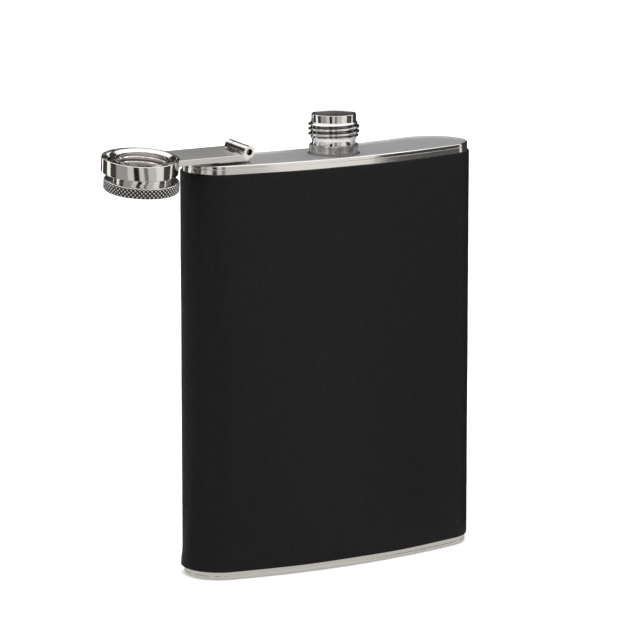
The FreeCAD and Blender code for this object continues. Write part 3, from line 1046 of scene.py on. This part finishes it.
def make_sleeve():
    """The cap's threaded sleeve with its flared lip."""
    thread = settings().thread
    place = cap_place()
    low, high, _, flare_radius = spread_of("cap_sleeve", place)
    bore, outer = SLEEVE_BORE, SLEEVE_OUTER
    foot, top = low + SLEEVE_THREAD_FOOT, low + SLEEVE_THREAD_TOP
    throat, ease, lip = low + FLARE_HEIGHT, 0.1 * MM, 0.12 * MM
    path = softened([
        (bore, throat, ease), (flare_radius - FLARE_LIP, low, lip), (flare_radius, low, lip),
        (outer, throat, ease), (outer, high, 0), (bore, high, 0),
    ], 5)
    path += straight((bore, top), (bore, foot), 72)
    metal = polished_steel()
    piece = turned("cap_tube", path, metal, 192)
    sizes = {
        "Root radius": bore, "Ridge height": -thread.sleeve_height, "Pitch": thread.pitch,
        "Low": foot, "High": top, "Run-out": thread.run_out, "Start turn": thread.start / math.tau,
    }
    shaped(piece, thread_tree(), sizes, metal)
    piece.data.transform(place)
    return put_on(piece, "cap", "bright_steel", "cap_sleeve")


def make_head():
    """The cap's knurled head, with bevelled corners and a flat crown."""
    knurl = settings().knurl
    place = cap_place()
    low, high, _, outer = spread_of("cap_head", place)
    sleeve_top = spread_of("cap_sleeve", place)[1]
    tube, bevel, rows = SLEEVE_OUTER, 0.32 * MM, 40
    path = [(tube, sleeve_top), (tube, low + 0.02 * MM), (tube + 0.1 * MM, low)]
    path += [(outer - bevel - 0.1 * MM, low), (outer - bevel, low + 0.03 * MM)]
    path += straight((outer, low + bevel), (outer, high - bevel), rows) + [(outer, high - bevel)]
    path += [(outer - bevel, high - 0.03 * MM), (outer - bevel - 0.12 * MM, high)]
    path += [(0, high), (0, sleeve_top)]
    metal = knurled_steel()
    piece = turned("cap_knob", path, metal, knurl.count * 12)
    sizes = {
        "Rim radius": outer, "Depth": knurl.depth,
        "Diamonds": knurl.count, "Row height": knurl.rows,
        "Low": low + bevel * 0.5, "High": high - bevel * 0.5, "Edge": 0.12 * MM,
    }
    shaped(piece, knurl_tree(), sizes, metal)
    piece.data.transform(place)
    return put_on(piece, "cap", "cap_steel", "cap_head")


def make_gasket():
    """The sealing disc inside the cap, with a moulded bead round its face."""
    place = cap_place()
    low, high, _, outer = spread_of("cap_gasket", place)
    face, shoulder = low + 0.12 * MM, low + 0.03 * MM
    path = [
        (0, face), (SEAL_BEAD - 0.6 * MM, face), (SEAL_BEAD - 0.3 * MM, shoulder), (SEAL_BEAD, low),
        (SEAL_BEAD + 0.3 * MM, shoulder), (SEAL_BEAD + 0.6 * MM, face),
        (outer - 0.15 * MM, face), (outer, low + 0.25 * MM), (outer, high), (0, high),
    ]
    piece = turned("cap_seal", path, gasket_rubber(), 128, place)
    return put_on(piece, "gasket", "gasket_rubber", "cap_gasket")


def finish_frame_nodes():
    """Materials for the frame's own nodes that stay in view."""
    dull, arm = solder_steel(), arm_steel()
    for node in ("neck_solder", "bracket_solder", "ring_braze_top", "ring_braze_under"):
        painted(node, dull)
    for node in ("hinge_arm", "hinge_bracket"):
        painted(node, arm)
    painted("hinge_pin", pin_steel())


# ---- stage -------------------------------------------------------------------------------------

def make_camera():
    stage = settings().stage
    low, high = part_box("body_shell")
    aim = Vector((AIM[0], 0, (low.z + high.z) / 2 + AIM[1]))
    back = Vector((
        math.sin(stage.azimuth) * math.cos(stage.elevation),
        -math.cos(stage.azimuth) * math.cos(stage.elevation),
        math.sin(stage.elevation),
    ))
    data = bpy.data.cameras.new("camera")
    data.lens = stage.lens
    data.sensor_width = 36
    data.clip_start, data.clip_end = 0.01, 50
    camera = bpy.data.objects.new("camera", data)
    camera.location = aim + back * stage.distance
    camera.rotation_euler = (-back).to_track_quat("-Z", "Y").to_euler()
    bpy.context.scene.collection.objects.link(camera)
    bpy.context.scene.camera = camera


def make_floor():
    stage = settings().stage
    bm = bmesh.new()
    bmesh.ops.create_grid(bm, x_segments=1, y_segments=1, size=6)
    material, maker, shader = new_material("floor")
    tone = noise_value(maker, object_place(maker), 3, 2, 0.5)
    light = (stage.floor,) * 3
    maker.join(tinted(maker, tone, shade(light, 0.995), light), shader.inputs["Base Color"])
    shader.inputs["Roughness"].default_value = 0.9
    shader.inputs["Specular IOR Level"].default_value = 0.1
    floor = finished("floor", bm, material)
    floor.data.transform(Matrix.Translation((0, 0, CAD_BOX[0].z - FLOOR_DROP)))


def area_light(name, place, size, power, in_steel):
    """A rectangular lamp, out of sight, that the bright steel may or may not show."""
    data = bpy.data.lights.new(name, "AREA")
    data.shape = "RECTANGLE"
    data.size, data.size_y = size
    data.energy = power
    lamp = bpy.data.objects.new(name, data)
    lamp.location = place
    lamp.rotation_euler = (Vector(LAMP_TARGET) - Vector(place)).to_track_quat("-Z", "Y").to_euler()
    lamp.visible_camera = False
    lamp.visible_glossy = in_steel
    bpy.context.scene.collection.objects.link(lamp)


def make_lights():
    for lamp in LAMPS:
        area_light(*lamp)
    make_sky()


def make_sky():
    """A white ceiling over grey walls: bright overhead, dimmer towards the horizon."""
    world = bpy.data.worlds.new("studio")
    world.use_nodes = True
    maker = NodeMaker(world.node_tree)
    back = world.node_tree.nodes["Background"]
    way = maker.add("ShaderNodeTexCoord")
    height = maker.add("ShaderNodeSeparateXYZ")
    maker.join(way.outputs["Generated"], height.inputs[0])
    up = ramp(maker, height.outputs["Z"], 0.25, 0.75)
    maker.join(ranged(maker, up, WALL_LIGHT, CEILING_LIGHT), back.inputs["Strength"])
    back.inputs["Color"].default_value = (0.95, 0.95, 0.95, 1)
    bpy.context.scene.world = world


def card(name, bm, tone):
    """A card of an even tone, seen only in the flask's bright steel."""
    material, _, shader = new_material(name)
    shader.inputs["Base Color"].default_value = (0, 0, 0, 1)
    shader.inputs["Roughness"].default_value = 1.0
    shader.inputs["Specular IOR Level"].default_value = 0.0
    shader.inputs["Emission Color"].default_value = (tone, tone * 0.97, tone * 0.93, 1)
    shader.inputs["Emission Strength"].default_value = 1.0
    sheet = finished(name, bm, material)
    sheet.visible_camera = False
    sheet.visible_diffuse = False
    sheet.visible_shadow = False
    sheet.visible_transmission = False


def make_cards():
    """Cards that lie on the floor and stand round the flask, for the streaks in its steel."""
    facing = math.degrees(settings().stage.azimuth) - 90
    near_edge, radius, height, lift = 0.056, 0.5, 0.42, -0.05 * MM
    steps = 6
    for i, (start, end, tone) in enumerate(CARDS):
        bm = bmesh.new()
        rows = []
        for reach, z in ((near_edge, lift), (radius, lift), (radius, height)):
            rows.append([])
            for k in range(steps + 1):
                angle = math.radians(facing + start + (end - start) * k / steps)
                rows[-1].append(bm.verts.new((reach * math.cos(angle), reach * math.sin(angle), z)))
        for low, high in zip(rows, rows[1:]):
            for k in range(steps):
                bm.faces.new((low[k], low[k + 1], high[k + 1], high[k]))
        card(f"card_{i}", bm, tone)
    bm = bmesh.new()
    bm.faces.new(circle(bm, near_edge, lift, 48))
    card("card_under", bm, CARD_UNDER)


def make_stage():
    scene = bpy.context.scene
    scene.view_settings.view_transform = "Standard"
    scene.view_settings.look = "None"
    make_camera()
    make_floor()
    make_lights()
    make_cards()


# ---- operators ---------------------------------------------------------------------------------

class FlaskOperator:
    """What the flask's operators share: each runs the functions that it lists."""

    bl_options = {"REGISTER", "UNDO"}
    steps = ()

    def execute(self, context):
        for step in self.steps:
            step()
        return {"FINISHED"}


class FLASK_OT_body(FlaskOperator, bpy.types.Operator):
    """Build the steel shell and its two end plates"""

    bl_idname = "flask.make_body"
    bl_label = "Steel body"
    steps = (make_shell, make_top_plate, make_bottom_plate)


class FLASK_OT_leather(FlaskOperator, bpy.types.Operator):
    """Build the leather wrap"""

    bl_idname = "flask.make_leather"
    bl_label = "Leather wrap"
    steps = (make_leather,)


class FLASK_OT_neck(FlaskOperator, bpy.types.Operator):
    """Build the threaded neck and the ring round its foot"""

    bl_idname = "flask.make_neck"
    bl_label = "Neck"
    steps = (make_neck, make_neck_ring)


class FLASK_OT_ring(FlaskOperator, bpy.types.Operator):
    """Build the captive ring at the arm's end"""

    bl_idname = "flask.make_ring"
    bl_label = "Captive ring"
    steps = (make_captive_ring,)


class FLASK_OT_cap(FlaskOperator, bpy.types.Operator):
    """Build the cap: sleeve, knurled head and seal"""

    bl_idname = "flask.make_cap"
    bl_label = "Cap"
    steps = (make_sleeve, make_head, make_gasket)


class FLASK_OT_hinge(FlaskOperator, bpy.types.Operator):
    """Finish the hinge, the arm and the solder"""

    bl_idname = "flask.finish_hinge"
    bl_label = "Hinge and arm"
    steps = (finish_frame_nodes,)


class FLASK_OT_stage(FlaskOperator, bpy.types.Operator):
    """Set the floor, the lights and the camera"""

    bl_idname = "flask.make_stage"
    bl_label = "Stage"
    steps = (make_stage,)


OPERATORS = (
    FLASK_OT_body, FLASK_OT_leather, FLASK_OT_neck, FLASK_OT_ring, FLASK_OT_cap, FLASK_OT_hinge,
    FLASK_OT_stage,
)


class FLASK_PT_sidebar(bpy.types.Panel):
    """The flask's sizes, finishes and build steps"""

    bl_label = "Hip flask"
    bl_idname = "FLASK_PT_sidebar"
    bl_space_type = "VIEW_3D"
    bl_region_type = "UI"
    bl_category = "Flask"

    def draw(self, context):
        layout = self.layout
        flask = context.scene.hip_flask
        for group in (flask.body, flask.thread, flask.knurl, flask.finish, flask.stage):
            box = layout.box()
            for name in type(group).__annotations__:
                box.prop(group, name)
        for operator in OPERATORS:
            layout.operator(operator.bl_idname)


CLASSES = (
    FlaskBodySizes, FlaskThreadSizes, FlaskKnurlSizes, FlaskFinishes, FlaskStageSettings,
    FlaskSettings, *OPERATORS, FLASK_PT_sidebar,
)


def register():
    for cls in CLASSES:
        bpy.utils.register_class(cls)
    bpy.types.Scene.hip_flask = PointerProperty(type=FlaskSettings)


def unregister():
    del bpy.types.Scene.hip_flask
    for cls in reversed(CLASSES):
        bpy.utils.unregister_class(cls)


def main():
    register()
    bpy.ops.flask.make_body()
    bpy.ops.flask.make_leather()
    bpy.ops.flask.make_neck()
    bpy.ops.flask.make_ring()
    bpy.ops.flask.make_cap()
    bpy.ops.flask.finish_hinge()
    bpy.ops.flask.make_stage()


if __name__ == "__main__":
    main()
